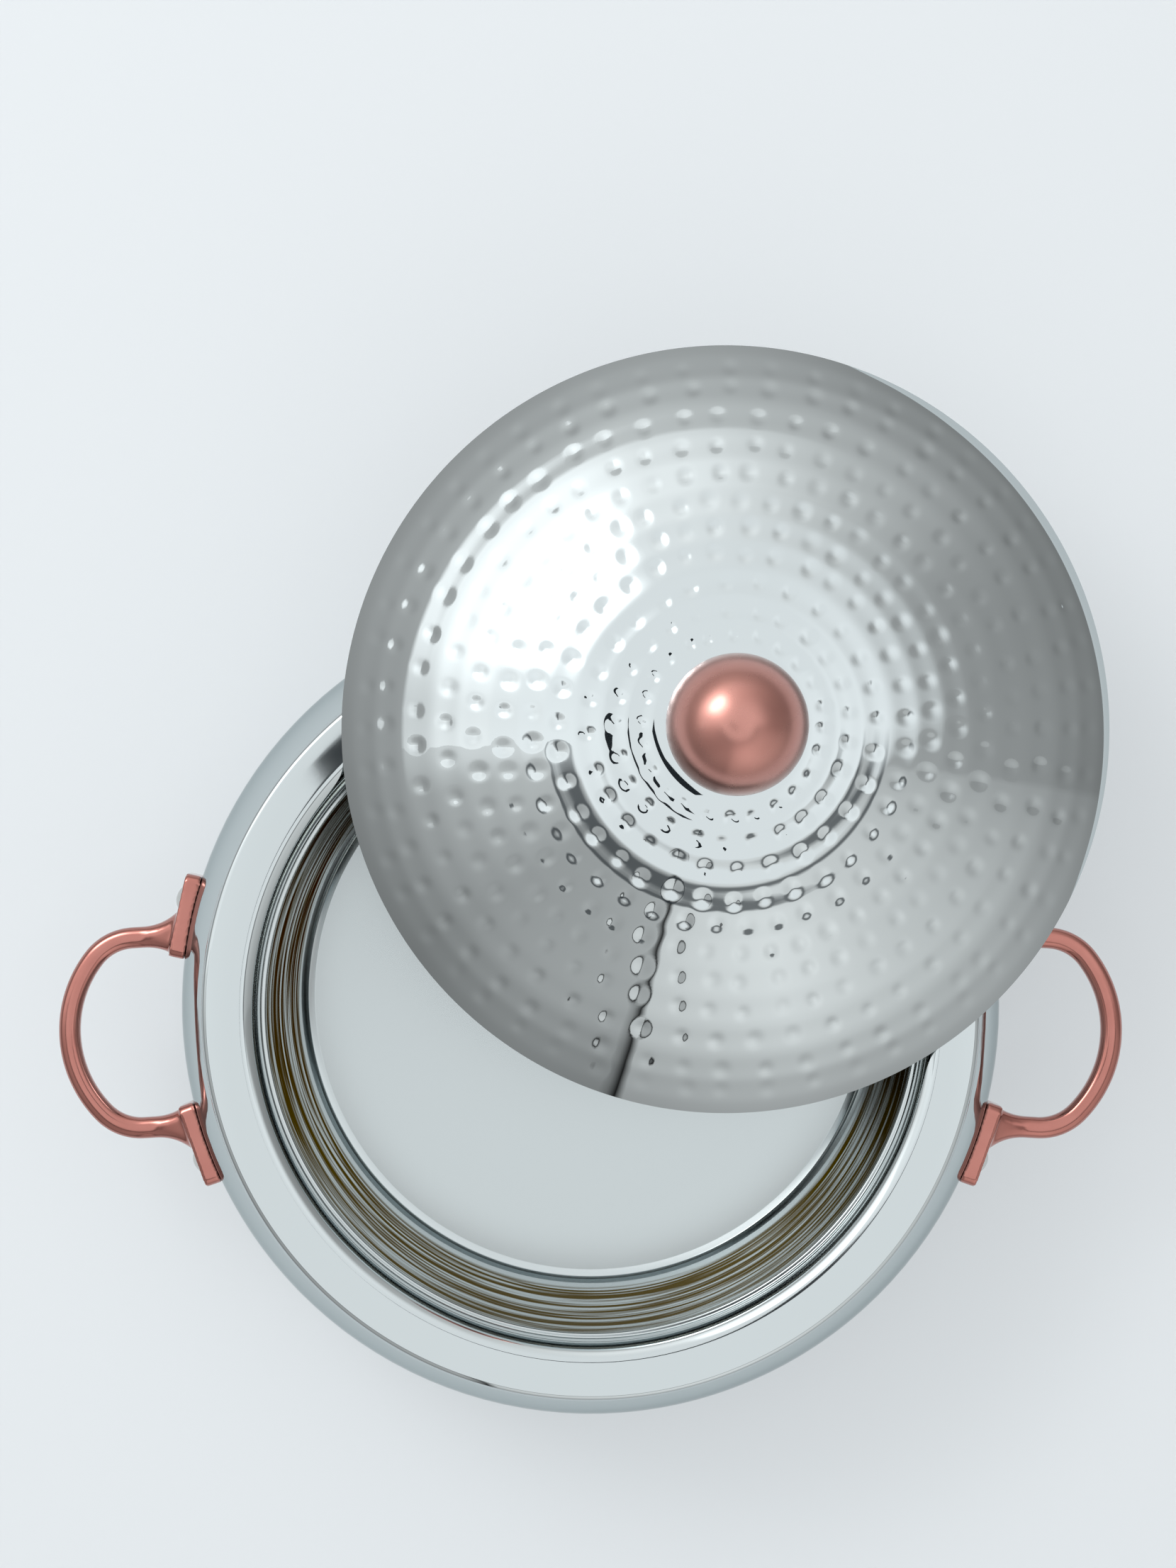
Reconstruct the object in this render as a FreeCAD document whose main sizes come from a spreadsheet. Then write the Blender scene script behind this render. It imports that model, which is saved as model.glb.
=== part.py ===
import FreeCAD, Part
import math
import os
import re
import Sketcher

# Lidded serving pot: a double-walled steel pot, a hammered dome lid and cast loop handles.
# Millimetres, +Z up. The origin is the middle of the flat base, on the pot's axis, and the
# handles point along X. The lid lies drawn aside, level on the rim, to show the inside.

DIMENSIONS = {
    # inner pan: rolled rim, flange, shoulder, neck, narrow ledge, tapered wall, floor
    "pot_sheet": 1.0,
    "rim_radius": 133.4,
    "rim_height": 92.0,
    "rim_roll": 2.2,
    "lip_depth": 5.0,
    "shoulder_round": 6.5,
    "flange_width": 19.1,
    "neck_depth": 13.0,
    "ledge_width": 1.6,
    "ledge_round": 0.6,
    "wall_taper": 8.1,
    "floor_height": 16.0,
    "floor_round": 3.5,
    # outer shell: neck inside the lip, belly, flat ring to stand on, raised middle
    "lip_gap": 0.1,
    "belly_radius": 144.5,
    "belly_height": 55.5,
    "belly_round": 41.0,
    "base_radius": 98.0,
    "recess_radius": 84.0,
    "recess_depth": 2.5,
    "recess_run": 5.0,
    "recess_round": 3.0,
    # handles: bowed grip, two arms, flared roots and flat feet on the belly
    "handle_height": 58.0,
    "handle_turn": 3.7,
    "loop_depth": 40.3,
    "loop_half_width": 33.7,
    "loop_corner": 18.4,
    "grip_bow": 41.7,
    "arm_length": 3.8,
    "bar_width": 7.6,
    "bar_height": 7.2,
    "bar_round": 3.0,
    "flare_standoff": 6.0,
    "flare_width": 9.4,
    "flare_height": 9.0,
    "flare_round": 3.4,
    "root_sink": 0.9,
    "root_width": 17.0,
    "root_height": 12.6,
    "root_round": 4.0,
    "foot_lead": 6.1,
    "foot_length": 30.0,
    "foot_height": 15.0,
    "foot_round": 3.0,
    "foot_thickness": 4.6,
    "foot_bed": 0.4,
    # rivets through the feet and the shell, with backing washers in the air gap
    "rivet_offset": 5.8,
    "rivet_radius": 2.5,
    "rivet_head_radius": 4.7,
    "rivet_head_height": 2.2,
    "rivet_tail_radius": 4.0,
    "rivet_tail_height": 1.6,
    "rivet_gap": 0.1,
    "backing_radius": 5.6,
    "backing_thickness": 1.0,
    "backing_gap": 0.1,
    # lid: flat seat for the knob, dome, plain cut edge
    "lid_sheet": 0.9,
    "lid_inset": 2.4,
    "lid_rise": 45.0,
    "lid_seat_margin": 1.0,
    "lid_gap": 0.3,
    "lid_aside_x": 46.0,
    "lid_aside_y": 96.5,
    # ball knob on a collar, held by a screw and washer from below
    "knob_radius": 22.5,
    "knob_neck_radius": 8.0,
    "knob_neck_height": 3.0,
    "collar_radius": 11.0,
    "collar_height": 2.5,
    "collar_round": 1.0,
    "screw_radius": 2.5,
    "screw_gap": 0.1,
    "screw_depth": 14.0,
    "screw_head_radius": 4.6,
    "screw_head_height": 3.2,
    "screw_head_round": 1.4,
    "washer_radius": 8.0,
    "washer_thickness": 1.2,
}

document = FreeCAD.newDocument("serving_pot")
sheet = document.addObject("Spreadsheet::Sheet", "Sizes")
for row, (alias, value) in enumerate(DIMENSIONS.items(), start=1):
    sheet.set(f"A{row}", alias.replace("_", " "))
    sheet.set(f"B{row}", str(value))
    sheet.setAlias(f"B{row}", alias)
document.recompute()

Z_AXIS = FreeCAD.Vector(0, 0, 1)
START, END, CENTRE = range(1, 4)


def cell(text):
    """Size names in an expression, turned into references to the sheet's cells."""
    return re.sub("[a-z_]+", lambda word: f"Sizes.{word[0]}" if word[0] in DIMENSIONS else word[0], text)


def size(text):
    """Present value of an expression made of size names."""
    return float(sheet.evalExpression(cell(text)))


def tie(thing, target, text):
    """Bind one property of an object to the sheet."""
    thing.setExpression(target, cell(text))


def pin(sketch, geometry, end, corner):
    """Bind one point of a sketch to its place, in sheet expressions; a zero lies on the axis."""
    for kind, axis, text in (("DistanceX", -2, corner[0]), ("DistanceY", -1, corner[1])):
        if text == "0":
            sketch.addConstraint(Sketcher.Constraint("PointOnObject", geometry, end, axis))
        else:
            index = sketch.addConstraint(Sketcher.Constraint(kind, -1, START, geometry, end, size(text)))
            tie(sketch, f"Constraints[{index}]", text)


def bind_radius(sketch, edge, text):
    """Bind the radius of an arc or circle."""
    index = sketch.addConstraint(Sketcher.Constraint("Radius", edge, size(text)))
    tie(sketch, f"Constraints[{index}]", text)


def arc_between(start, end, radius, bend):
    """Arc under a half turn; bend is 1 where it turns left on its way and -1 where it turns right."""
    middle = (start + end) * 0.5
    chord = end - start
    left = FreeCAD.Vector(-chord.y, chord.x, 0).normalize()
    centre = middle + left * bend * math.sqrt(radius ** 2 - chord.Length ** 2 / 4)
    first, last = (start, end) if bend > 0 else (end, start)
    angles = [math.atan2(point.y - centre.y, point.x - centre.x) for point in (first, last)]
    return Part.ArcOfCircle(Part.Circle(centre, Z_AXIS, radius), *angles)


def draw(sketch, corners, closed=True):
    """Outline from corners (x, y), (x, y, "round", r) or (x, y, "left" or "right", arc radius to it).

    An arc whose radius comes out negative bends the other way.
    """
    places = [FreeCAD.Vector(size(corner[0]), size(corner[1]), 0) for corner in corners]
    count = len(corners)
    arrive, leave, rounds = dict(), dict(), dict()
    for index, corner in enumerate(corners):
        if len(corner) == 4 and corner[2] == "round":
            before = (places[index - 1] - places[index]).normalize()
            after = (places[(index + 1) % count] - places[index]).normalize()
            reach = size(corner[3]) / math.tan(before.getAngle(after) / 2)
            rounds[index] = (places[index] + before * reach, places[index] + after * reach)
    for index in range(count if closed else count - 1):
        following = (index + 1) % count
        start = rounds[index][1] if index in rounds else places[index]
        end = rounds[following][0] if following in rounds else places[following]
        corner = corners[following]
        if len(corner) == 4 and corner[2] in ("left", "right"):
            bend = 1 if (corner[2] == "left") == (size(corner[3]) > 0) else -1
            edge = sketch.addGeometry(arc_between(start, end, abs(size(corner[3])), bend))
            leave[index], arrive[following] = ((edge, START), (edge, END))[::bend]
            bind_radius(sketch, edge, f"abs({corner[3]})")
        else:
            edge = sketch.addGeometry(Part.LineSegment(start, end))
            leave[index], arrive[following] = (edge, START), (edge, END)
    for index, corner in enumerate(corners):
        if index in rounds:
            start, end = rounds[index]
            turn = (places[index] - start).cross(end - places[index]).z
            bend = 1 if turn > 0 else -1
            arc = sketch.addGeometry(arc_between(start, end, size(corner[3]), bend))
            first, last = (START, END)[::bend]
            sketch.addConstraint(Sketcher.Constraint("Tangent", *arrive[index], arc, first))
            sketch.addConstraint(Sketcher.Constraint("Tangent", arc, last, *leave[index]))
            bind_radius(sketch, arc, corner[3])
            point = sketch.addGeometry(Part.Point(places[index]), True)
            for edge, _ in (arrive[index], leave[index]):
                sketch.addConstraint(Sketcher.Constraint("PointOnObject", point, START, edge))
            pin(sketch, point, START, corner)
        else:
            if index in arrive and index in leave:
                sketch.addConstraint(Sketcher.Constraint("Coincident", *arrive[index], *leave[index]))
            pin(sketch, *(arrive.get(index) or leave[index]), corner)


def upright_sketch(name):
    """Free sketch on the XZ plane, for a piece that is turned about the pot's axis."""
    sketch = document.addObject("Sketcher::SketchObject", name)
    sketch.Placement = FreeCAD.Placement(FreeCAD.Vector(), FreeCAD.Rotation(FreeCAD.Vector(1, 0, 0), 90))
    return sketch


def spun(label, source):
    """Full turn about the pot's axis."""
    piece = document.addObject("Part::Revolution", label)
    piece.Source = source
    piece.Axis = Z_AXIS
    piece.Angle = 360
    piece.Solid = True
    return piece


def spun_sheet(label, corners, thickness):
    """Spun sheet metal: the profile of its show side, thickened to one side and turned."""
    sketch = upright_sketch(label + "_profile")
    draw(sketch, corners, closed=False)
    wall = document.addObject("Part::Offset2D", label + "_wall")
    wall.Source = sketch
    wall.Mode = "Skin"
    wall.Join = "Arc"
    wall.Fill = True
    tie(wall, "Value", thickness)
    return spun(label, wall)


def body_sketch(body, name, plane):
    """Sketch on one of a body's own origin planes."""
    sketch = body.newObject("Sketcher::SketchObject", name)
    support = next(item for item in body.Origin.OriginFeatures if item.Role == plane)
    sketch.AttachmentSupport = [(support, "")]
    sketch.MapMode = "FlatFace"
    return sketch


def turned(label, corners):
    """Solid of revolution about the Z axis, from a closed half profile."""
    body = document.addObject("PartDesign::Body", label)
    sketch = body_sketch(body, label + "_profile", "XZ_Plane")
    draw(sketch, corners)
    feature = body.newObject("PartDesign::Revolution", label + "_turned")
    feature.Profile = sketch
    feature.ReferenceAxis = (sketch, ["V_Axis"])
    feature.Angle = 360
    return body


def turn_about_axis(thing, angle):
    """Swing a finished piece round the pot's axis, by an angle tied to the sheet."""
    tie(thing, "Placement", f"placement(vector(0; 0; 0); rotation(vector(0; 0; 1); {angle}))")


def draw_aside(thing):
    """Set a piece of the lid where the lid lies, aside on the rim."""
    tie(thing, "Placement.Base.x", "lid_aside_x")
    tie(thing, "Placement.Base.y", "lid_aside_y")


def arc_radius(run, rise):
    """Radius of an arc that is square to its run at one end and covers run by rise."""
    return f"((({run})^2 + ({rise})^2) / (2 * ({run})))"


# Inner pan: one drawn sheet, from the floor up to the lip turned down over the shell's neck
mouth_radius = "(rim_radius - flange_width)"
wall_top_radius = f"({mouth_radius} - ledge_width)"
ledge_height = "(rim_height - neck_depth)"
inner_pan = spun_sheet("inner_pan", [
    ("0", "floor_height"),
    (f"{wall_top_radius} - wall_taper", "floor_height", "round", "floor_round"),
    (wall_top_radius, ledge_height, "round", "ledge_round"),
    (mouth_radius, ledge_height, "round", "ledge_round"),
    (mouth_radius, "rim_height", "round", "shoulder_round"),
    ("rim_radius", "rim_height", "round", "rim_roll"),
    ("rim_radius", "rim_height - lip_depth"),
], "-pot_sheet")

# Outer shell: spun sheet with its neck in the pan's lip; its form is also what the feet are fitted to
neck_radius = "(rim_radius - pot_sheet - lip_gap)"
neck_height = "(rim_height - lip_depth)"
half_rise = f"(({neck_height} - belly_height) / 2)"
draw_in = f"((belly_radius - {neck_radius}) / {half_rise})"
bend_share = f"abs((sqrt(1 + {draw_in}^2) - 1) / {draw_in})"
BEND_LIMIT = 0.95
belly_upper = f"min(belly_round; {BEND_LIMIT} * {half_rise} / {bend_share})"
flare = "(belly_radius - base_radius)"
belly_lower = f"(({flare}^2 + belly_height^2) / (2 * min({flare}; belly_height)))"
lower_centre = (f"({flare} < belly_height ? belly_radius - {belly_lower} : base_radius)",
                f"({flare} < belly_height ? belly_height : {belly_lower})")
belly = [
    ("belly_radius", "belly_height", "left", belly_lower),
    ("belly_radius", f"belly_height + {half_rise}", "round", belly_upper),
    (neck_radius, neck_height),
]
shell_sheet = spun_sheet("shell_sheet", [
    ("0", "recess_depth"),
    ("recess_radius - recess_run", "recess_depth", "round", "recess_round"),
    ("recess_radius", "0", "round", "recess_round"),
    ("base_radius", "0"),
    *belly,
    (neck_radius, "rim_height - rim_roll - lip_gap"),
], "pot_sheet")
shell_form_sketch = upright_sketch("shell_form_profile")
draw(shell_form_sketch, [("0", "0"), ("base_radius", "0"), *belly, ("0", neck_height)])
shell_form = spun("shell_form", shell_form_sketch)


def wall_at(height, inset):
    """Radius of the belly, or of a face inset from it, at a height up to the end of its upper bend."""
    upper_rise = f"max(0; {height} - belly_height - {half_rise} + {belly_upper} * {bend_share})"
    upper = f"belly_radius - {belly_upper} + sqrt(({belly_upper} - {inset})^2 - {upper_rise}^2)"
    lower = f"{lower_centre[0]} + sqrt(({belly_lower} - {inset})^2 - ({height} - {lower_centre[1]})^2)"
    return f"({height} > belly_height ? {upper} : {lower})"


def wall_behind(half_height, half_width, inset):
    """Nearest that the belly comes to the pot's axis behind a flat face of that size, at the handles."""
    above, below = (wall_at(f"(handle_height {sign} {half_height})", inset) for sign in "+-")
    return f"sqrt(min({above}; {below})^2 - ({half_width})^2)"


# Handles: a bar swept round the bowed grip, roots lofted out to flat feet, feet fitted to the belly
grip_centre = "(belly_radius + loop_depth - grip_bow)"
corner_rise = "(loop_half_width - loop_corner)"
corner_run = f"sqrt((grip_bow - loop_corner)^2 - {corner_rise}^2)"
arm_end = f"({grip_centre} + {corner_run})"
arm_start = f"({arm_end} - arm_length)"
bow_share = "grip_bow / (grip_bow - loop_corner)"
bow_x = f"{grip_centre} + {corner_run} * {bow_share}"
bow_y = f"{corner_rise} * {bow_share}"
foot_face = "(belly_radius + foot_thickness)"
foot_angle = "asin((loop_half_width + foot_lead) / belly_radius)"
hole_radius = "(rivet_radius + rivet_gap)"


def rounded_block(sketch, centre_x, centre_y, width, height, corner):
    """Rounded rectangle about a centre."""
    left, right = f"{centre_x} - {width} / 2", f"{centre_x} + {width} / 2"
    low, high = f"{centre_y} - {height} / 2", f"{centre_y} + {height} / 2"
    corners = ((left, low), (right, low), (right, high), (left, high))
    draw(sketch, [(x, y, "round", corner) for x, y in corners])


def bar_section(body, name, reach, side, width, height, corner):
    """Cross section of one arm or root, square to X, at a reach from the pot's axis."""
    sketch = body_sketch(body, name, "YZ_Plane")
    tie(sketch, "AttachmentOffset.Base.z", reach)
    rounded_block(sketch, f"{side} * loop_half_width", "handle_height", width, height, corner)
    return sketch


def handle_foot(body, side):
    """Flat foot against the belly, with its rivet hole."""
    sketch = body_sketch(body, "foot_outline", "YZ_Plane")
    inner_face = f"({wall_behind('foot_height / 2', 'foot_length / 2', '0')} - foot_bed)"
    across = f"{side} * {inner_face} * sin({foot_angle})"
    out = f"{inner_face} * cos({foot_angle})"
    turn = f"rotation(vector(0; 1; 0); {side} * {foot_angle})"
    tie(sketch, "AttachmentOffset", f"placement(vector({across}; handle_height; {out}); {turn})")
    rounded_block(sketch, "0", "0", "foot_length", "foot_height", "foot_round")
    centre = FreeCAD.Vector(side * size("rivet_offset"), 0, 0)
    hole = sketch.addGeometry(Part.Circle(centre, Z_AXIS, size(hole_radius)))
    bind_radius(sketch, hole, hole_radius)
    pin(sketch, hole, CENTRE, (f"{side} * rivet_offset", "0"))
    pad = body.newObject("PartDesign::Pad", "foot")
    pad.Profile = sketch
    tie(pad, "Length", f"{foot_face} - {inner_face}")


def handle(label, azimuth):
    """One cast handle, turned to its place round the pot."""
    body = document.addObject("PartDesign::Body", label + "_casting")
    path = body_sketch(body, "grip_line", "XY_Plane")
    tie(path, "AttachmentOffset.Base.z", "handle_height")
    draw(path, [
        (arm_start, "loop_half_width"),
        (arm_end, "loop_half_width"),
        (bow_x, bow_y, "right", "loop_corner"),
        (bow_x, f"-{bow_y}", "right", "grip_bow"),
        (arm_end, "-loop_half_width", "right", "loop_corner"),
        (arm_start, "-loop_half_width"),
    ], closed=False)
    bar = body.newObject("PartDesign::AdditivePipe", "grip")
    bar.Profile = bar_section(body, "bar", arm_start, 1, "bar_width", "bar_height", "bar_round")
    document.recompute()
    bar.Spine = (path, [f"Edge{number}" for number in range(1, len(path.Shape.Edges) + 1)])
    for side in (1, -1):
        root = body.newObject("PartDesign::AdditiveLoft", "root")
        root.Profile = bar_section(body, "arm_end", arm_start, side, "bar_width", "bar_height", "bar_round")
        root.Sections = [
            bar_section(body, "flare", "(belly_radius + flare_standoff)", side,
                        "flare_width", "flare_height", "flare_round"),
            bar_section(body, "root_end", "(belly_radius - root_sink)", side,
                        "root_width", "root_height", "root_round"),
        ]
        handle_foot(body, side)
    casting = document.addObject("Part::Cut", label)
    casting.Base = body
    casting.Tool = shell_form
    turn_about_axis(casting, azimuth)
    return casting


HANDS = {
    "right": ("(-handle_turn)", {"back": 1, "front": -1}),
    "left": ("(180 + handle_turn)", {"front": 1, "back": -1}),
}
handles = [handle(f"handle_{hand}", azimuth) for hand, (azimuth, _) in HANDS.items()]


# Rivets: one through each foot and the shell, tails upset on backing washers in the air gap
backing_wall = wall_behind("backing_radius", "rivet_offset + backing_radius", "pot_sheet")
backing_face = f"({backing_wall} - backing_gap)"
tail_face = f"({backing_face} - backing_thickness)"
head_dome = arc_radius("rivet_head_height", "rivet_head_radius")
RIVET = [
    (f"{foot_face} + rivet_head_height", "0"),
    (foot_face, "rivet_head_radius", "left", head_dome),
    (foot_face, "rivet_radius"),
    (tail_face, "rivet_radius"),
    (tail_face, "rivet_tail_radius"),
    (f"{tail_face} - rivet_tail_height", "rivet_tail_radius"),
    (f"{tail_face} - rivet_tail_height", "0"),
]
BACKING = [
    (backing_face, hole_radius),
    (backing_face, "backing_radius"),
    (tail_face, "backing_radius"),
    (tail_face, hole_radius),
]
DRILL = [
    (foot_face, "0"),
    (foot_face, hole_radius),
    (tail_face, hole_radius),
    (tail_face, "0"),
]


def through_foot(label, corners, azimuth, side):
    """Piece turned about the rivet's axis, from a half profile of (distance from pot axis, radius)."""
    body = document.addObject("PartDesign::Body", label)
    sketch = body_sketch(body, label + "_profile", "XZ_Plane")
    tie(sketch, "AttachmentOffset.Base.y", "handle_height")
    tie(sketch, "AttachmentOffset.Base.z", f"-{side} * rivet_offset")
    draw(sketch, corners)
    feature = body.newObject("PartDesign::Revolution", label + "_turned")
    feature.Profile = sketch
    feature.ReferenceAxis = (sketch, ["H_Axis"])
    feature.Angle = 360
    turn_about_axis(body, f"{azimuth} * 1deg + {side} * {foot_angle}")
    return body


rivets, backings, drills = [], [], []
for hand, (azimuth, ends) in HANDS.items():
    for end, side in ends.items():
        place = f"{hand}_{end}"
        rivets.append(through_foot(f"rivet_{place}", RIVET, azimuth, side))
        backings.append(through_foot(f"rivet_washer_{place}", BACKING, azimuth, side))
        drills.append(through_foot(f"rivet_drill_{place}", DRILL, azimuth, side))
rivet_holes = document.addObject("Part::MultiFuse", "rivet_holes")
rivet_holes.Shapes = drills
outer_shell = document.addObject("Part::Cut", "outer_shell")
outer_shell.Base = shell_sheet
outer_shell.Tool = rivet_holes


# Lid: one domed sheet, resting on the rim by its cut edge, pierced for the knob's screw
lid_radius = "(rim_radius - lid_inset)"
lid_seat_radius = "(collar_radius + lid_seat_margin)"
lid_arc = arc_radius("lid_rise", f"{lid_radius} - {lid_seat_radius}")
lid_edge = f"(rim_height + lid_gap + lid_sheet * (1 - lid_rise / {lid_arc}))"
lid_top = f"({lid_edge} + lid_rise)"
screw_hole = "screw_radius + screw_gap"
lid_shell = spun_sheet("lid_shell", [
    (screw_hole, lid_top),
    (lid_seat_radius, lid_top),
    (lid_radius, lid_edge, "right", lid_arc),
], "-lid_sheet")

# Knob: a ball with a short neck, tapped from below, on a low collar
collar_top = f"({lid_top} + collar_height)"
neck_top = f"({collar_top} + knob_neck_height)"
ball_top = f"({neck_top} + knob_radius + sqrt(knob_radius^2 - knob_neck_radius^2))"
tap_end = f"({collar_top} + screw_depth)"
knob = turned("knob", [
    ("0", ball_top),
    ("knob_radius", f"{ball_top} - knob_radius", "right", "knob_radius"),
    ("knob_neck_radius", neck_top, "right", "knob_radius"),
    ("knob_neck_radius", collar_top),
    (screw_hole, collar_top),
    (screw_hole, tap_end),
    ("0", tap_end),
])
knob_collar = turned("knob_collar", [
    (screw_hole, lid_top),
    ("collar_radius", lid_top),
    ("collar_radius", collar_top, "round", "collar_round"),
    (screw_hole, collar_top),
])

# Screw and washer: under the lid, drawing the knob down on its collar
washer_top = f"({lid_top} - lid_sheet)"
washer_low = f"({washer_top} - washer_thickness)"
screw_low = f"({washer_low} - screw_head_height)"
knob_washer = turned("knob_washer", [
    (screw_hole, washer_low),
    ("washer_radius", washer_low),
    ("washer_radius", washer_top),
    (screw_hole, washer_top),
])
knob_screw = turned("knob_screw", [
    ("0", screw_low),
    ("screw_head_radius", screw_low, "round", "screw_head_round"),
    ("screw_head_radius", washer_low),
    ("screw_radius", washer_low),
    ("screw_radius", f"{tap_end} - screw_gap"),
    ("0", f"{tap_end} - screw_gap"),
])
lid_pieces = [lid_shell, knob, knob_collar, knob_washer, knob_screw]
for piece in lid_pieces:
    draw_aside(piece)

document.recompute()
for thing in document.Objects:
    assert not {"Invalid", "Error"} & set(thing.State), thing.Label
os.makedirs("parts", exist_ok=True)
for piece in [outer_shell, inner_pan, *handles, *rivets, *backings, *lid_pieces]:
    assert not piece.Shape.isNull() and piece.Shape.isValid(), piece.Label
    piece.Shape.exportStep(f"parts/{piece.Label}.step")
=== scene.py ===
import math
import bpy
import numpy as np
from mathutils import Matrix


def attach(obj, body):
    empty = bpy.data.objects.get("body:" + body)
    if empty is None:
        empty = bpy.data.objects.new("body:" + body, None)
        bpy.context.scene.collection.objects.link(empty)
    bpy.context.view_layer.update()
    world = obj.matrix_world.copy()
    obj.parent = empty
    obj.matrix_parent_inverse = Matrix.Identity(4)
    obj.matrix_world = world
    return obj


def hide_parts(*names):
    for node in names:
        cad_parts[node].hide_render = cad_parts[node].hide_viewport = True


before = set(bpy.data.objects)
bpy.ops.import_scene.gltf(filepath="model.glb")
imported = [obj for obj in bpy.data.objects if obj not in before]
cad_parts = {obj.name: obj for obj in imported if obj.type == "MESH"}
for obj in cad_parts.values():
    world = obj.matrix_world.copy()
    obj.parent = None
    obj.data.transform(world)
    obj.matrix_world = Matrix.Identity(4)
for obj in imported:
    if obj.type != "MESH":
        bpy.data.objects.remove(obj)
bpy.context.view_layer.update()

# Outer shell: the pot's belly and base, spun from one sheet of stainless steel and buffed to a mirror
# on the outside. Its neck stands inside the pan's lip. The CAD solid is shown, with a new finish.
STEEL_GREY = "C6CDCE"
SHELL_EDGE_GREY = "D4D9DA"
POT_AXIS = (0.0, 0.0)
BUFF_PATCH = 0.045


def srgb(code):
    """Linear colour of an sRGB hex value."""
    channels = [int(code[at:at + 2], 16) / 255 for at in (0, 2, 4)]
    return (*[c / 12.92 if c <= 0.04045 else ((c + 0.055) / 1.055) ** 2.4 for c in channels], 1.0)


def add_node(material, kind, settings, links=()):
    """Node with its settings, on sockets, ramp stops or itself, and its links from other sockets."""
    node = material.node_tree.nodes.new(kind)
    for name, value in settings.items():
        if name in node.inputs.keys() or isinstance(name, int):
            node.inputs[name].default_value = value
        elif name == "stops":
            for where, level in value[1:-1]:
                node.color_ramp.elements.new(where)
            for element, (where, level) in zip(node.color_ramp.elements, value):
                element.position = where
                element.color = (level, level, level, 1.0)
        elif name == "between":
            node.color_ramp.interpolation = value
        else:
            setattr(node, name, value)
    for name, source in dict(links).items():
        material.node_tree.links.new(source, node.inputs[name])
    return node


def spun_steel(name, colour, axis, roughness, haze, line_pitch, line_depth):
    """Stainless steel turned about an upright axis: faint rings round the axis and a patchy haze, in metres."""
    material = bpy.data.materials.new(name)
    material.use_nodes = True
    shader = material.node_tree.nodes["Principled BSDF"]
    place = add_node(material, "ShaderNodeTexCoord", {})
    centred = add_node(material, "ShaderNodeMapping", {"Location": (-axis[0], -axis[1], 0)},
                       {"Vector": place.outputs["Object"]})
    split = add_node(material, "ShaderNodeSeparateXYZ", {}, {"Vector": centred.outputs["Vector"]})
    flat = add_node(material, "ShaderNodeCombineXYZ", {},
                    {"X": split.outputs["X"], "Y": split.outputs["Y"]})
    reach = add_node(material, "ShaderNodeVectorMath", {"operation": "LENGTH"}, {0: flat.outputs["Vector"]})
    rings = add_node(material, "ShaderNodeCombineXYZ", {},
                     {"X": reach.outputs["Value"], "Y": split.outputs["Z"]})
    lines = add_node(material, "ShaderNodeTexNoise", {"Scale": 1 / line_pitch, "Detail": 3.0},
                     {"Vector": rings.outputs["Vector"]})
    relief = add_node(material, "ShaderNodeBump", {"Strength": 1.0, "Distance": line_depth},
                      {"Height": lines.outputs["Fac"]})
    patches = add_node(material, "ShaderNodeTexNoise", {"Scale": 1 / BUFF_PATCH, "Detail": 4.0},
                       {"Vector": place.outputs["Object"]})
    dull = add_node(material, "ShaderNodeMapRange",
                    {"From Min": 0.35, "From Max": 0.7, "To Min": roughness, "To Max": roughness + haze},
                    {"Value": patches.outputs["Fac"]})
    shader.inputs["Base Color"].default_value = srgb(colour)
    shader.inputs["Metallic"].default_value = 1.0
    material.node_tree.links.new(dull.outputs["Result"], shader.inputs["Roughness"])
    material.node_tree.links.new(relief.outputs["Normal"], shader.inputs["Normal"])
    return material


# Mirror-buffed steel: clear reflections, drawn out a little round the axis by the marks of spinning. The
# real marks are finer than a pixel, so here and below they are drawn a millimetre or more apart.
shell_steel = spun_steel("mirror_buffed_stainless_steel_shell", STEEL_GREY, POT_AXIS,
                         roughness=0.03, haze=0.03, line_pitch=0.002, line_depth=0.000002)
shell_steel.node_tree.nodes["Principled BSDF"].inputs["Specular Tint"].default_value = srgb(SHELL_EDGE_GREY)
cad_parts["outer_shell"].data.materials.clear()
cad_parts["outer_shell"].data.materials.append(shell_steel)

# Inner pan: one drawn sheet of stainless steel, from the floor up the tapered wall to a narrow ledge,
# then the neck, the shoulder, the broad flange and the lip rolled down over the shell's neck.
MM = 0.001  # pieces are sized in millimetres, finishes and the studio in metres
PAN_SHEET = 1.0
PAN_STEPS = 288
FLOOR_HEIGHT = 16.0
LEDGE_HEIGHT = 79.0
RIM_HEIGHT = 92.0
PAN_OUTLINE = [  # radius from the axis, height and rounding of each corner
    (0.0, FLOOR_HEIGHT, 0.0),  # middle of the floor
    (102.0, FLOOR_HEIGHT, 0.8),  # crease round the floor
    (104.9, FLOOR_HEIGHT + 1.0, 1.3),  # foot of the wall
    (112.7, LEDGE_HEIGHT, 0.6),  # top of the wall
    (114.3, LEDGE_HEIGHT, 0.6),  # ledge
    (114.3, RIM_HEIGHT, 6.5),  # shoulder
    (133.4, RIM_HEIGHT, 2.2),  # rolled rim
    (133.4, 87.0, 0.0),  # lip
]
CORNER_POINTS = 14
RIDGE_PITCH = 1.5
RIDGE_DEPTH = 0.05
RIDGE_SEED = 3
JOIN_REACH = 0.002
CREASE = math.radians(40)
PAN_GREY = "C0C7C8"
# Painted shade on the pan's wall: a brown tone and a dark edge tint laid on in bands
PAINTED_SHADE_BROWN = "968D7C"
PAINTED_SHADE_EDGE_TINT = "685C46"
BAND_HEIGHT = 0.0024
BANDS_PER_METRE = 14.0
SATIN = 0.26
SHARE, FIRST, SECOND, MIXED = 0, 6, 7, 2  # sockets of a Mix node that is set to colours


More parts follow.
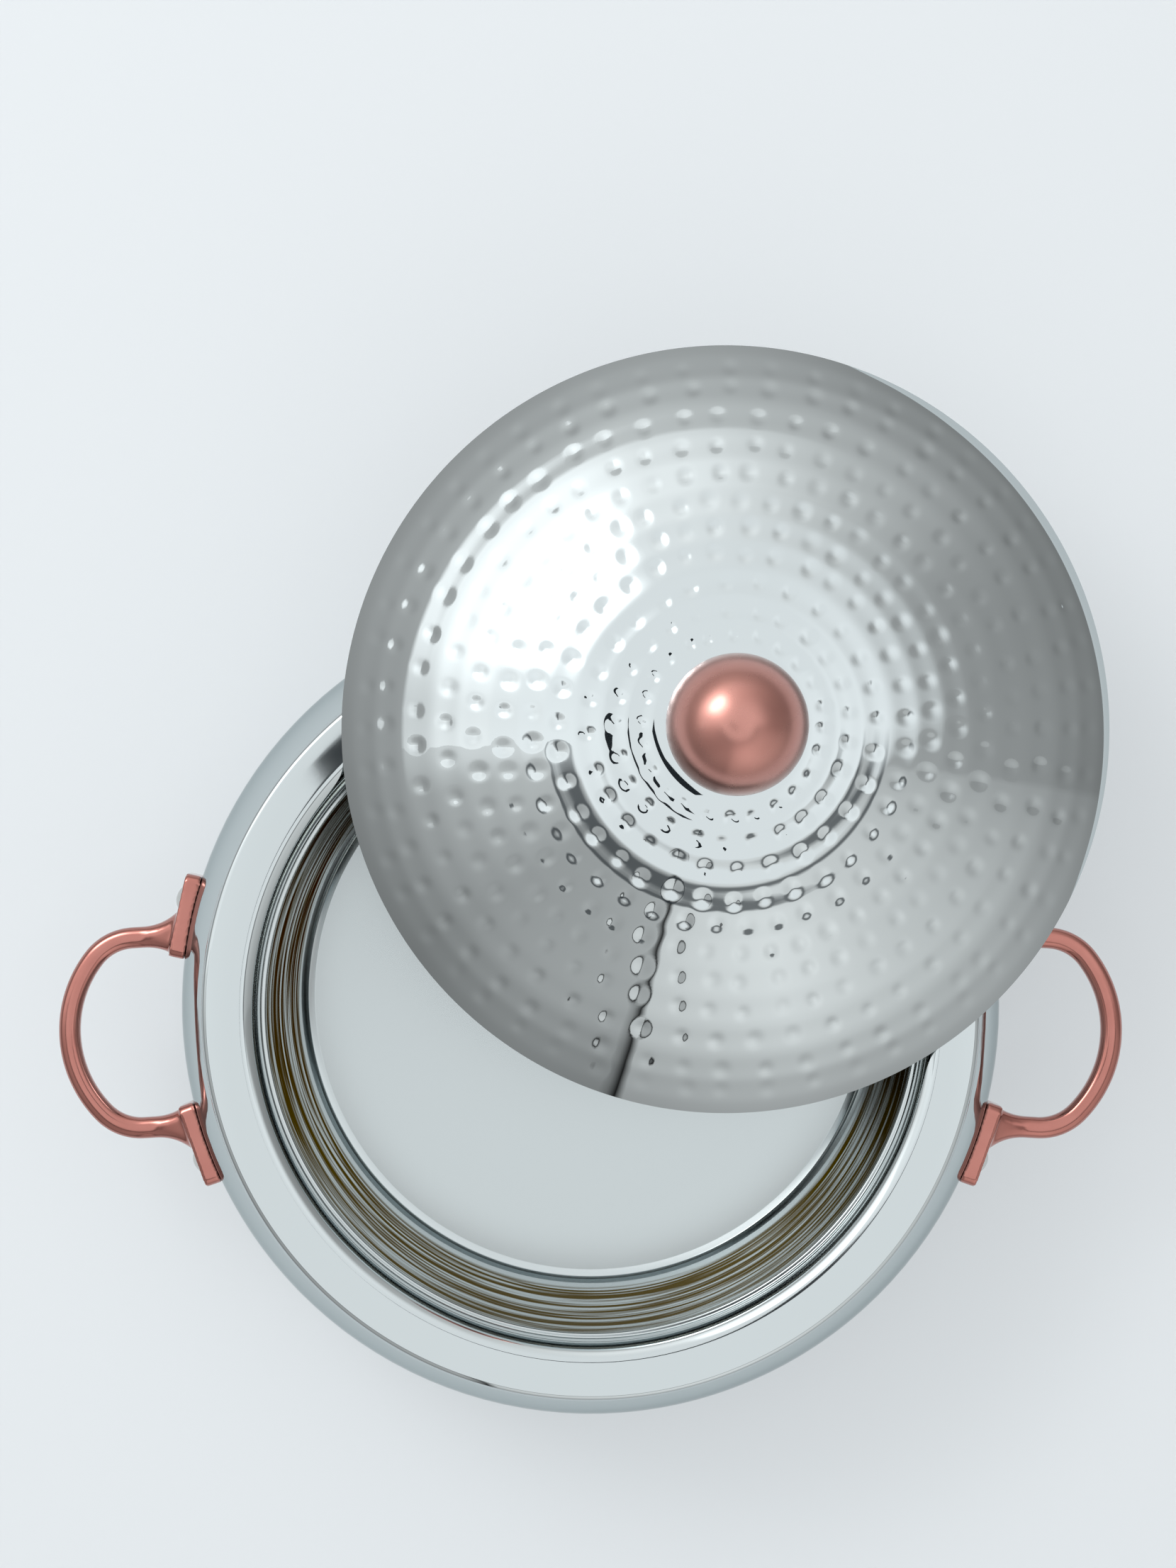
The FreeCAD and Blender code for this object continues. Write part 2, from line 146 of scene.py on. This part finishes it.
def rounded(corners):
    """Outline points from corners of (radius from axis, height, rounding), in millimetres."""
    points = [np.array(corners[0][:2])]
    for before, corner, after in zip(corners, corners[1:], corners[2:]):
        tip = np.array(corner[:2])
        back = np.array(before[:2]) - tip
        ahead = np.array(after[:2]) - tip
        back /= np.linalg.norm(back)
        ahead /= np.linalg.norm(ahead)
        half = math.acos(float(back @ ahead)) / 2
        middle = tip + (back + ahead) / np.linalg.norm(back + ahead) * corner[2] / math.sin(half)
        start = tip + back * corner[2] / math.tan(half) - middle
        end = tip + ahead * corner[2] / math.tan(half) - middle
        for share in np.linspace(0, 1, CORNER_POINTS):
            arm = start * (1 - share) + end * share
            points.append(middle + arm / np.linalg.norm(arm) * corner[2])
    points.append(np.array(corners[-1][:2]))
    return points


def ridged(points, pitch, depth, seed):
    """Straight runs longer than a pitch, divided, with the uneven ridges that a spinning roller leaves."""
    uneven = np.random.default_rng(seed)
    made = [points[0]]
    for here, there in zip(points, points[1:]):
        run = there - here
        length = np.linalg.norm(run)
        count = int(length // pitch)
        side = np.array((-run[1], run[0])) / length
        for index in range(1, count):
            made.append(here + run * index / count + side * uneven.uniform(-depth, depth))
        made.append(there)
    return made


def spun(name, outline, steps):
    """Open sheet turned about the pot's axis: a point is extruded along its outline and then spun."""
    bpy.ops.object.select_all(action="DESELECT")
    bpy.ops.mesh.primitive_plane_add(size=MM)
    piece = bpy.context.object
    piece.name = name
    bpy.ops.object.mode_set(mode="EDIT")
    bpy.ops.mesh.merge(type="CENTER")
    bpy.ops.transform.translate(value=(outline[0][0] * MM, 0, outline[0][1] * MM))
    for here, there in zip(outline, outline[1:]):
        step = (there - here) * MM
        bpy.ops.mesh.extrude_region_move(TRANSFORM_OT_translate={"value": (step[0], 0, step[1])})
    bpy.ops.mesh.select_all(action="SELECT")
    bpy.ops.mesh.spin(steps=steps, angle=2 * math.pi, center=(0, 0, 0), axis=(0, 0, 1))
    bpy.ops.mesh.select_all(action="SELECT")
    bpy.ops.mesh.remove_doubles(threshold=JOIN_REACH * MM)
    bpy.ops.mesh.normals_make_consistent(inside=False)
    bpy.ops.object.mode_set(mode="OBJECT")
    return piece


pan_points = rounded(PAN_OUTLINE)
wall_start = next(at for at, point in enumerate(pan_points) if point[1] > FLOOR_HEIGHT + 2.0)
wall_end = next(at for at, point in enumerate(pan_points) if point[1] > LEDGE_HEIGHT - 1.0)
pan_points = (pan_points[:wall_start]
              + ridged(pan_points[wall_start:wall_end + 1], RIDGE_PITCH, RIDGE_DEPTH, RIDGE_SEED)
              + pan_points[wall_end + 1:])
inner_pan = spun("pan_with_flange", pan_points, PAN_STEPS)
wall = inner_pan.modifiers.new("sheet", "SOLIDIFY")
wall.thickness = PAN_SHEET * MM
wall.offset = -1.0
bpy.ops.object.modifier_apply(modifier="sheet")
bpy.ops.object.shade_smooth_by_angle(angle=CREASE)

# Buffed steel with a satin floor: the flange mirrors the room, and the floor is one soft, even grey
pan_steel = spun_steel("buffed_stainless_steel_pan", PAN_GREY, POT_AXIS,
                       roughness=0.04, haze=0.04, line_pitch=0.002, line_depth=0.000002)
pan_shader = pan_steel.node_tree.nodes["Principled BSDF"]
buffed = pan_shader.inputs["Roughness"].links[0].from_socket
pan_place = add_node(pan_steel, "ShaderNodeTexCoord", {})
height = add_node(pan_steel, "ShaderNodeSeparateXYZ", {}, {"Vector": pan_place.outputs["Object"]})
satin = add_node(pan_steel, "ShaderNodeMapRange",
                 {"From Min": (FLOOR_HEIGHT + 0.1) * MM, "From Max": (FLOOR_HEIGHT + 1.2) * MM,
                  "To Min": SATIN, "To Max": 0.0}, {"Value": height.outputs["Z"]})
floor_dull = add_node(pan_steel, "ShaderNodeMath", {"operation": "MAXIMUM"},
                      {0: satin.outputs["Result"], 1: buffed})
pan_steel.node_tree.links.new(floor_dull.outputs["Value"], pan_shader.inputs["Roughness"])
# Painted shade: brown bands of uneven length round the wall, dark streaks painted into its colour in place of
# the shade of the lid's underside that the wall reflects
band_stretch = add_node(pan_steel, "ShaderNodeMapping",
                 {"Scale": (BANDS_PER_METRE, BANDS_PER_METRE, 1 / BAND_HEIGHT)},
                 {"Vector": pan_place.outputs["Object"]})
bands = add_node(pan_steel, "ShaderNodeTexNoise", {"Scale": 1.0, "Detail": 3.0},
                 {"Vector": band_stretch.outputs["Vector"]})
painted_shade_streaks = add_node(pan_steel, "ShaderNodeMapRange",
                   {"From Min": 0.45, "From Max": 0.61, "To Min": 1.0, "To Max": 0.08},
                   {"Value": bands.outputs["Fac"]})
wall_climb = add_node(pan_steel, "ShaderNodeMapRange",
                      {"From Min": FLOOR_HEIGHT * MM, "From Max": RIM_HEIGHT * MM},
                      {"Value": height.outputs["Z"]})
on_wall = add_node(pan_steel, "ShaderNodeValToRGB",
                   {"stops": [(0.15, 0.0), (0.20, 1.0), (0.80, 1.0), (0.83, 0.0)]},
                   {"Fac": wall_climb.outputs["Result"]})
painted_shade_share = add_node(pan_steel, "ShaderNodeMath", {"operation": "MULTIPLY"},
                     {0: painted_shade_streaks.outputs["Result"], 1: on_wall.outputs["Color"]})
wall_tone = add_node(pan_steel, "ShaderNodeMix",
                     {"data_type": "RGBA", FIRST: srgb(PAN_GREY), SECOND: srgb(PAINTED_SHADE_BROWN)},
                     {SHARE: painted_shade_share.outputs["Value"]})
pan_steel.node_tree.links.new(wall_tone.outputs[MIXED], pan_shader.inputs["Base Color"])
# Painted shade: the wall is mostly seen at a grazing angle, where the tint of the edge decides how dark it
# looks, so the bands darken the edge tint too
wall_edge = add_node(pan_steel, "ShaderNodeMix",
                     {"data_type": "RGBA", FIRST: srgb("FFFFFF"), SECOND: srgb(PAINTED_SHADE_EDGE_TINT)},
                     {SHARE: painted_shade_share.outputs["Value"]})
pan_steel.node_tree.links.new(wall_edge.outputs[MIXED], pan_shader.inputs["Specular Tint"])
inner_pan.data.materials.append(pan_steel)
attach(inner_pan, "pot")
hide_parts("inner_pan")

# Handles: loops cast in one piece with their flared roots and flat feet, tumbled, plated with rose copper
# and polished. The feet are fitted to the belly and riveted. Each CAD solid is copied, and its edges are
# softened as tumbling does, which no single bevel could do where the lofted roots run into the feet.
CAST_GRID = 0.6
TUMBLING = 8
TUMBLING_FORCE = 0.5
PLATE_PATCH = 0.012


def plated_copper(name, bright, deep, roughness, haze, grain, grain_depth, lacquer):
    """Rose-copper plate under clear lacquer: pink metal with soft reflections and slight unevenness."""
    material = bpy.data.materials.new(name)
    material.use_nodes = True
    shader = material.node_tree.nodes["Principled BSDF"]
    place = add_node(material, "ShaderNodeTexCoord", {})
    skin = add_node(material, "ShaderNodeTexNoise", {"Scale": 1 / grain, "Detail": 5.0},
                    {"Vector": place.outputs["Object"]})
    relief = add_node(material, "ShaderNodeBump", {"Strength": 1.0, "Distance": grain_depth},
                      {"Height": skin.outputs["Fac"]})
    patches = add_node(material, "ShaderNodeTexNoise", {"Scale": 1 / PLATE_PATCH, "Detail": 4.0},
                       {"Vector": place.outputs["Object"]})
    dull = add_node(material, "ShaderNodeMapRange",
                    {"From Min": 0.3, "From Max": 0.7, "To Min": roughness, "To Max": roughness + haze},
                    {"Value": patches.outputs["Fac"]})
    tone = add_node(material, "ShaderNodeMix",
                    {"data_type": "RGBA", FIRST: srgb(bright), SECOND: srgb(deep)},
                    {SHARE: patches.outputs["Fac"]})
    material.node_tree.links.new(tone.outputs[MIXED], shader.inputs["Base Color"])
    shader.inputs["Metallic"].default_value = 1.0
    shader.inputs["Coat Weight"].default_value = lacquer
    shader.inputs["Coat Roughness"].default_value = roughness
    material.node_tree.links.new(dull.outputs["Result"], shader.inputs["Roughness"])
    material.node_tree.links.new(relief.outputs["Normal"], shader.inputs["Normal"])
    return material


# Plated castings: warm pink with long highlights that waver a little over the uneven cast skin
handle_copper = plated_copper("rose_copper_plate_on_castings", bright="B4766B", deep="A46358",
                              roughness=0.12, haze=0.06, grain=0.008, grain_depth=0.00001, lacquer=0.8)
for hand in ("right", "left"):
    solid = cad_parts[f"handle_{hand}"]
    casting = bpy.data.objects.new(f"cast_loop_{hand}", solid.data.copy())
    casting.matrix_world = solid.matrix_world
    bpy.context.collection.objects.link(casting)
    bpy.ops.object.select_all(action="DESELECT")
    casting.select_set(True)
    bpy.context.view_layer.objects.active = casting
    bpy.ops.object.transform_apply(location=True, rotation=True, scale=True)
    bpy.ops.object.mode_set(mode="EDIT")
    bpy.ops.mesh.select_all(action="SELECT")
    bpy.ops.mesh.remove_doubles(threshold=JOIN_REACH * MM)
    bpy.ops.object.mode_set(mode="OBJECT")
    skin = casting.modifiers.new("casting skin", "REMESH")
    skin.mode = "VOXEL"
    skin.voxel_size = CAST_GRID * MM
    bpy.ops.object.modifier_apply(modifier="casting skin")
    tumble = casting.modifiers.new("tumbled edges", "SMOOTH")
    tumble.factor = TUMBLING_FORCE
    tumble.iterations = TUMBLING
    bpy.ops.object.modifier_apply(modifier="tumbled edges")
    bpy.ops.object.shade_smooth()
    casting.data.materials.clear()
    casting.data.materials.append(handle_copper)
    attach(casting, "pot")
    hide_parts(f"handle_{hand}")

# Rivets: solid stainless rivets with low domed heads outside. They pass through a handle's foot and the
# shell, and their tails are upset on washers in the air gap. The CAD solids are shown.
RIVET_GREY = "C9C9C6"
# Cold-headed steel: bright, but its reflections are broader and softer than those of the buffed sheets
rivet_steel = spun_steel("bright_cold_headed_steel", RIVET_GREY, POT_AXIS,
                         roughness=0.16, haze=0.1, line_pitch=0.002, line_depth=0.000004)
for foot in ("right_back", "right_front", "left_front", "left_back"):
    for fastener in ("rivet", "rivet_washer"):
        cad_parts[f"{fastener}_{foot}"].data.materials.clear()
        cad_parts[f"{fastener}_{foot}"].data.materials.append(rivet_steel)

# Lid shell: a domed sheet of stainless steel, buffed to a mirror and hammered from outside in rings of
# round dents, with a flat seat for the knob and a plain cut edge that rests on the pan's flange. The
# sheet is spun, and the hundreds of uneven blows, which no operator gives, are worked into its points.
LID_AXIS = (46.0, 96.5)
LID_SHEET = 0.9
LID_EDGE_RADIUS = 131.0
LID_SEAT_RADIUS = 12.0
LID_RISE = 45.0
LID_GAP = 0.3
SCREW_HOLE = 2.6
LID_ARC = ((LID_EDGE_RADIUS - LID_SEAT_RADIUS) ** 2 + LID_RISE ** 2) / (2 * LID_RISE)
LID_TOP = RIM_HEIGHT + LID_GAP + LID_SHEET * (1 - LID_RISE / LID_ARC) + LID_RISE
TOP_ROWS, TOP_STEPS = 118, 720
UNDER_ROWS, UNDER_STEPS = 30, 180
SEAT_ROWS = 5
RINGS = [  # radius of the ring and how many blows it has
    (122.5, 52), (115.0, 52), (104.5, 51), (94.0, 50), (84.0, 48), (74.5, 45),
    (65.5, 40), (57.0, 35), (47.0, 28), (38.0, 25), (30.0, 24),
]
HAMMER_SEED = 11
DENT_DEPTH = 0.33
DEPTH_RANGE = (0.6, 1.25)  # shares of the depth
LIGHT_BLOWS = 18  # how far in from the edge the blows are lighter
DENT_REACH = 4.2
REACH_RANGE = (0.85, 1.12)  # shares of the reach
INNER_REACH = 0.62  # share of the reach that would be left at the middle of the lid
REACH_GROWTH = 180  # how far out from the middle that share grows by one
STRAY_ACROSS = 0.35
STRAY_ALONG = 0.06  # as a share of the step from blow to blow
GROOVE_DEPTH = 0.09
GROOVE_REACH = 4.8
DEEP_GROOVES = 25  # how far out from the innermost ring the grooves are deeper
PLAIN_EDGE = 5
WARP = 0.12
LID_AXIS_PLACE = [at * MM for at in LID_AXIS]  # in metres


def lid_outline(rows, inset):
    """Points along the dome, from the screw hole to the edge, on a face set in from the top."""
    spread = np.concatenate((np.linspace(SCREW_HOLE, LID_SEAT_RADIUS, SEAT_ROWS)[:-1],
                             np.linspace(LID_SEAT_RADIUS, LID_EDGE_RADIUS, rows)))
    tilt = np.arcsin(np.maximum(spread - LID_SEAT_RADIUS, 0) / LID_ARC)
    rise = LID_TOP - LID_ARC * (1 - np.cos(tilt))
    return [np.array(point) for point in zip(spread - inset * np.sin(tilt), rise - inset * np.cos(tilt))]


def hammered(piece):
    """Drive the dents into a face of the lid, along the dome's own normal, and set the lid on its axis."""
    uneven = np.random.default_rng(HAMMER_SEED)
    places = np.empty(len(piece.data.vertices) * 3)
    piece.data.vertices.foreach_get("co", places)
    places = places.reshape(-1, 3) / MM
    reach = np.hypot(places[:, 0], places[:, 1])
    angle = np.arctan2(places[:, 1], places[:, 0])
    tilt = np.arcsin(np.clip((reach - LID_SEAT_RADIUS) / LID_ARC, 0, 1))
    sunk = np.zeros(len(places))
    for ring, blows in RINGS:
        grip = uneven.normal(0, STRAY_ACROSS, blows)
        swing = uneven.normal(0, STRAY_ALONG, blows)
        lighter = min(1.0, (LID_EDGE_RADIUS - ring) / LIGHT_BLOWS)
        narrower = min(1.0, INNER_REACH + ring / REACH_GROWTH)
        force = DENT_DEPTH * uneven.uniform(*DEPTH_RANGE, blows) * lighter
        width = DENT_REACH * uneven.uniform(*REACH_RANGE, blows) * narrower
        turn = angle / (2 * math.pi) * blows + uneven.uniform()
        for side in (-1, 0, 1):
            blow = (np.floor(turn).astype(int) + side) % blows
            along = (turn - np.floor(turn) - side - 0.5 - swing[blow]) / blows * 2 * math.pi * ring
            away = np.hypot(along, reach - ring - grip[blow])
            sunk += force[blow] * np.maximum(0, 1 - (away / width[blow]) ** 2) ** 3
        groove = GROOVE_DEPTH * (1 + 2 * max(0.0, 1 - (ring - RINGS[-1][0]) / DEEP_GROOVES))
        sunk += groove * np.maximum(0, 1 - ((reach - ring) / GROOVE_REACH) ** 2) ** 2
    for waves in (2, 3, 5):
        sunk += WARP / waves * np.sin(waves * angle + waves ** 2) * (reach / LID_EDGE_RADIUS) ** 2
    sunk *= np.clip((LID_EDGE_RADIUS - reach) / PLAIN_EDGE, 0, 1)
    places[:, 0] -= sunk * np.sin(tilt) * np.cos(angle)
    places[:, 1] -= sunk * np.sin(tilt) * np.sin(angle)
    places[:, 2] -= sunk * np.cos(tilt)
    places[:, 0] += LID_AXIS[0]
    places[:, 1] += LID_AXIS[1]
    piece.data.vertices.foreach_set("co", (places * MM).ravel())
    piece.data.update()


lid_under = spun("lid_underside", lid_outline(UNDER_ROWS, LID_SHEET), UNDER_STEPS)
hammered(lid_under)
lid_shell = spun("hammered_lid", lid_outline(TOP_ROWS, 0.0), TOP_STEPS)
hammered(lid_shell)
lid_under.select_set(True)
bpy.context.view_layer.objects.active = lid_shell
bpy.ops.object.join()
for loops in ("edge", "hole"):
    bpy.ops.object.mode_set(mode="EDIT")
    bpy.ops.mesh.select_mode(type="EDGE")
    bpy.ops.mesh.select_all(action="DESELECT")
    bpy.ops.mesh.select_non_manifold(use_wire=False, use_multi_face=False, use_non_contiguous=False,
                                     use_verts=False)
    bpy.ops.object.mode_set(mode="OBJECT")
    for edge in lid_shell.data.edges:
        if edge.select:
            start = lid_shell.data.vertices[edge.vertices[0]].co / MM
            outside = math.hypot(start.x - LID_AXIS[0], start.y - LID_AXIS[1]) > LID_SEAT_RADIUS
            edge.select = outside == (loops == "edge")
    bpy.ops.object.mode_set(mode="EDIT")
    bpy.ops.mesh.bridge_edge_loops()
bpy.ops.mesh.select_all(action="SELECT")
bpy.ops.mesh.normals_make_consistent(inside=False)
bpy.ops.object.mode_set(mode="OBJECT")
bpy.ops.object.shade_smooth_by_angle(angle=CREASE)

# Hammered mirror: each dent gathers the whole room into a small bright and dark spot with sharp outlines
lid_steel = spun_steel("mirror_buffed_hammered_steel", STEEL_GREY, LID_AXIS_PLACE,
                       roughness=0.012, haze=0.015, line_pitch=0.003, line_depth=0.000001)
lid_shell.data.materials.append(lid_steel)
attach(lid_shell, "lid")
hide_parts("lid_shell")

# Knob: a ball turned with its short neck, plated with rose copper and polished. It sits on a collar and
# is held from below the lid by a pan-head screw through a washer, all three of plain steel.
FIXING_GREY = "C4C4C1"
# Plated ball: a lighter pink than the castings of the same plate, painted light for the brighter light that
# falls on the ball, with one soft, almost white highlight under the lacquer
knob_copper = plated_copper("rose_copper_plate_on_turned_ball", bright="C48A7E", deep="B4776B",
                            roughness=0.26, haze=0.03, grain=0.008, grain_depth=0.000004, lacquer=1.0)
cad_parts["knob"].data.materials.clear()
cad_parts["knob"].data.materials.append(knob_copper)
# Turned steel: plain grey with blurred reflections and fine rings from the lathe
screw_steel = spun_steel("plain_turned_steel", FIXING_GREY, LID_AXIS_PLACE,
                         roughness=0.2, haze=0.1, line_pitch=0.001, line_depth=0.000006)
for fixing in ("knob_collar", "knob_washer", "knob_screw"):
    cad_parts[fixing].data.materials.clear()
    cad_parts[fixing].data.materials.append(screw_steel)

# Studio floor: pale matt paper under the pot. It gives off part of its own colour, more so further out,
# so that shadows stay soft and it runs into the backdrop without a line.
TENT = 2.4
PALE = "E2E7EA"
FLOOR_DROP = 0.0001
bpy.ops.object.select_all(action="DESELECT")
bpy.ops.mesh.primitive_circle_add(vertices=128, radius=TENT, fill_type="NGON", location=(0, 0, -FLOOR_DROP))
floor = bpy.context.object
floor.name = "pale_floor"
# Matt paper: no gloss at all, only a soft shadow
floor_paper = bpy.data.materials.new("matt_studio_paper")
floor_paper.use_nodes = True
paper = floor_paper.node_tree.nodes["Principled BSDF"]
paper.inputs["Base Color"].default_value = srgb(PALE)
paper.inputs["Roughness"].default_value = 0.9
paper.inputs["Specular IOR Level"].default_value = 0.0
table_glow = add_node(floor_paper, "ShaderNodeEmission", {"Color": srgb(PALE)})
floor_place = add_node(floor_paper, "ShaderNodeTexCoord", {})
far = add_node(floor_paper, "ShaderNodeVectorMath", {"operation": "LENGTH"}, {0: floor_place.outputs["Object"]})
fade = add_node(floor_paper, "ShaderNodeMapRange",
                {"From Min": 0.5, "From Max": 2.0, "To Min": 0.45, "To Max": 1.0},
                {"Value": far.outputs["Value"]})
table = add_node(floor_paper, "ShaderNodeMixShader", {},
                 {0: fade.outputs["Result"], 1: paper.outputs["BSDF"], 2: table_glow.outputs["Emission"]})
floor_paper.node_tree.links.new(table.outputs["Shader"],
                                floor_paper.node_tree.nodes["Material Output"].inputs["Surface"])
floor.data.materials.append(floor_paper)

# Light tent: a round tent of lit cloth, hidden from the camera, whose panels and open seams are what the
# polished metal reflects. Places round it run from its left side, anticlockwise, and up it from its foot.
LAMP_LEVEL = (2.1, 2.12, 2.14, 1)
CORE_LEVEL = (12.0, 12.0, 12.0, 1)
ROOF_LEVEL = (1.30, 1.32, 1.34, 1)
SLIT_LEVEL = (0.04, 0.05, 0.06, 1)
FOLD_WIDTH = 1.6
bpy.ops.mesh.primitive_uv_sphere_add(segments=96, ring_count=48, radius=TENT)
tent = bpy.context.object
tent.name = "light_tent"
bpy.ops.object.mode_set(mode="EDIT")
bpy.ops.mesh.select_all(action="SELECT")
bpy.ops.mesh.bisect(plane_co=(0, 0, 0), plane_no=(0, 0, 1), clear_inner=True)
bpy.ops.mesh.select_all(action="SELECT")
bpy.ops.mesh.normals_make_consistent(inside=True)
bpy.ops.object.mode_set(mode="OBJECT")
# Lit cloth: an even glow that differs from panel to panel
cloth = bpy.data.materials.new("lit_tent_cloth")
cloth.use_nodes = True
cloth.node_tree.nodes.remove(cloth.node_tree.nodes["Principled BSDF"])
place = add_node(cloth, "ShaderNodeTexCoord", {})
facing = add_node(cloth, "ShaderNodeVectorMath", {"operation": "NORMALIZE"}, {0: place.outputs["Object"]})
split = add_node(cloth, "ShaderNodeSeparateXYZ", {}, {"Vector": facing.outputs["Vector"]})
bearing = add_node(cloth, "ShaderNodeMath", {"operation": "ARCTAN2"},
                   {0: split.outputs["Y"], 1: split.outputs["X"]})
turn = add_node(cloth, "ShaderNodeMapRange", {"From Min": -math.pi, "From Max": math.pi},
                {"Value": bearing.outputs["Value"]})
# Side panels, with a dark open seam towards the front and a faint one at the right
panels = add_node(cloth, "ShaderNodeValToRGB", {"stops": [
    (0.000, 0.70), (0.100, 0.50), (0.2065, 0.62), (0.2080, 0.02), (0.2115, 0.02), (0.2130, 0.92),
    (0.300, 1.02), (0.400, 0.84), (0.4840, 0.58), (0.4850, 0.34), (0.4862, 0.34), (0.4872, 0.48),
    (0.600, 0.54), (0.700, 0.78), (0.800, 0.95), (0.950, 0.70), (1.000, 0.70)]},
    {"Fac": turn.outputs["Result"]})
climb = add_node(cloth, "ShaderNodeValToRGB", {"stops": [
    (0.00, 0.55), (0.20, 0.70), (0.45, 0.92), (0.75, 1.10), (1.00, 1.15)]},
    {"Fac": split.outputs["Z"]})
sides = add_node(cloth, "ShaderNodeMix", {"data_type": "RGBA", "blend_type": "MULTIPLY", SHARE: 1.0},
                 {FIRST: panels.outputs["Color"], SECOND: climb.outputs["Color"]})
# A large soft lamp behind the cloth at the upper left, with a brighter core
lamp_round = add_node(cloth, "ShaderNodeValToRGB", {"between": "EASE", "stops": [
    (0.00, 0.25), (0.03, 0.0), (0.66, 0.0), (0.78, 0.30), (0.84, 0.90), (0.93, 1.0), (0.98, 0.5)]},
    {"Fac": turn.outputs["Result"]})
lamp_up = add_node(cloth, "ShaderNodeValToRGB", {"between": "EASE", "stops": [
    (0.37, 0.0), (0.43, 0.65), (0.62, 1.0), (0.80, 0.75), (0.93, 0.40)]},
    {"Fac": split.outputs["Z"]})
lamp = add_node(cloth, "ShaderNodeMix", {"data_type": "RGBA", "blend_type": "MULTIPLY", SHARE: 1.0},
                {FIRST: lamp_round.outputs["Color"], SECOND: lamp_up.outputs["Color"]})
lit = add_node(cloth, "ShaderNodeMix", {"data_type": "RGBA", SECOND: LAMP_LEVEL},
               {SHARE: lamp.outputs[MIXED], FIRST: sides.outputs[MIXED]})
core_round = add_node(cloth, "ShaderNodeValToRGB", {"between": "EASE", "stops": [
    (0.80, 0.0), (0.855, 1.0), (0.895, 1.0), (0.945, 0.0)]},
    {"Fac": turn.outputs["Result"]})
core_up = add_node(cloth, "ShaderNodeValToRGB", {"between": "EASE", "stops": [
    (0.56, 0.0), (0.71, 1.0), (0.83, 1.0), (0.93, 0.0)]},
    {"Fac": split.outputs["Z"]})
core = add_node(cloth, "ShaderNodeMix", {"data_type": "RGBA", "blend_type": "MULTIPLY", SHARE: 1.0},
                {FIRST: core_round.outputs["Color"], SECOND: core_up.outputs["Color"]})
hot = add_node(cloth, "ShaderNodeMix", {"data_type": "RGBA", SECOND: CORE_LEVEL},
               {SHARE: core.outputs[MIXED], FIRST: lit.outputs[MIXED]})
# The roof: a dark slit parts it from the lower panels, and it shades into the upper ones
lower = add_node(cloth, "ShaderNodeValToRGB", {"stops": [
    (0.00, 0.55), (0.04, 1.0), (0.47, 1.0), (0.52, 0.0), (0.97, 0.0)]},
    {"Fac": turn.outputs["Result"]})
roof_from = add_node(cloth, "ShaderNodeMapRange", {"To Min": 0.62, "To Max": 0.905},
                     {"Value": lower.outputs["Color"]})
roof_share = add_node(cloth, "ShaderNodeMapRange", {"From Max": 0.93, "interpolation_type": "SMOOTHSTEP"},
                      {"Value": split.outputs["Z"], "From Min": roof_from.outputs["Result"]})
roof = add_node(cloth, "ShaderNodeMix", {"data_type": "RGBA", SECOND: ROOF_LEVEL},
                {SHARE: roof_share.outputs["Result"], FIRST: hot.outputs[MIXED]})
slit_up = add_node(cloth, "ShaderNodeValToRGB", {"stops": [
    (0.855, 0.0), (0.872, 0.8), (0.886, 0.8), (0.905, 0.0)]},
    {"Fac": split.outputs["Z"]})
slit = add_node(cloth, "ShaderNodeMix", {"data_type": "RGBA", "blend_type": "MULTIPLY", SHARE: 1.0},
                {FIRST: slit_up.outputs["Color"], SECOND: lower.outputs["Color"]})
shaded = add_node(cloth, "ShaderNodeMix", {"data_type": "RGBA", SECOND: SLIT_LEVEL},
                  {SHARE: slit.outputs[MIXED], FIRST: roof.outputs[MIXED]})
folds = add_node(cloth, "ShaderNodeTexNoise", {"Scale": 1 / FOLD_WIDTH, "Detail": 0.0},
                 {"Vector": place.outputs["Object"]})
uneven_light = add_node(cloth, "ShaderNodeMapRange",
                        {"From Min": 0.3, "From Max": 0.7, "To Min": 0.9, "To Max": 1.1},
                        {"Value": folds.outputs["Fac"]})
glow = add_node(cloth, "ShaderNodeEmission", {},
                {"Color": shaded.outputs[MIXED], "Strength": uneven_light.outputs["Result"]})
cloth.node_tree.links.new(glow.outputs["Emission"],
                          cloth.node_tree.nodes["Material Output"].inputs["Surface"])
tent.data.materials.append(cloth)
tent.visible_camera = False

# Camera: it hangs straight over the pot from a dark arm, which shows in the polished lid beside the knob.
# The arm itself is hidden from the camera. Around the tent the world is as pale as the floor.
CAMERA = (-0.0009, 0.0778, 0.992)
ARM_SIZE = (0.26, 0.06, 1.0)
ARM_BESIDE = (-0.085, -0.05, 0.03)
bpy.ops.mesh.primitive_plane_add(size=1.0, rotation=(0, 0, -math.pi / 4),
                                 location=[at + beside for at, beside in zip(CAMERA, ARM_BESIDE)])
stand = bpy.context.object
stand.name = "camera_arm"
stand.scale = ARM_SIZE
# Dull black paint: nearly no light comes back from it
black = bpy.data.materials.new("dull_black_stand")
black.use_nodes = True
black.node_tree.nodes["Principled BSDF"].inputs["Base Color"].default_value = srgb("1C2228")
black.node_tree.nodes["Principled BSDF"].inputs["Roughness"].default_value = 0.8
stand.data.materials.append(black)
stand.visible_camera = False

world = bpy.data.worlds.new("pale_backdrop")
world.use_nodes = True
world.node_tree.nodes["Background"].inputs["Color"].default_value = srgb(PALE)
bpy.context.scene.world = world
bpy.context.scene.view_settings.view_transform = "Standard"

bpy.ops.object.camera_add(location=CAMERA, rotation=(0, 0, 0))
camera = bpy.context.object
camera.data.lens = 60.5
camera.data.sensor_width = 36.0
bpy.context.scene.camera = camera
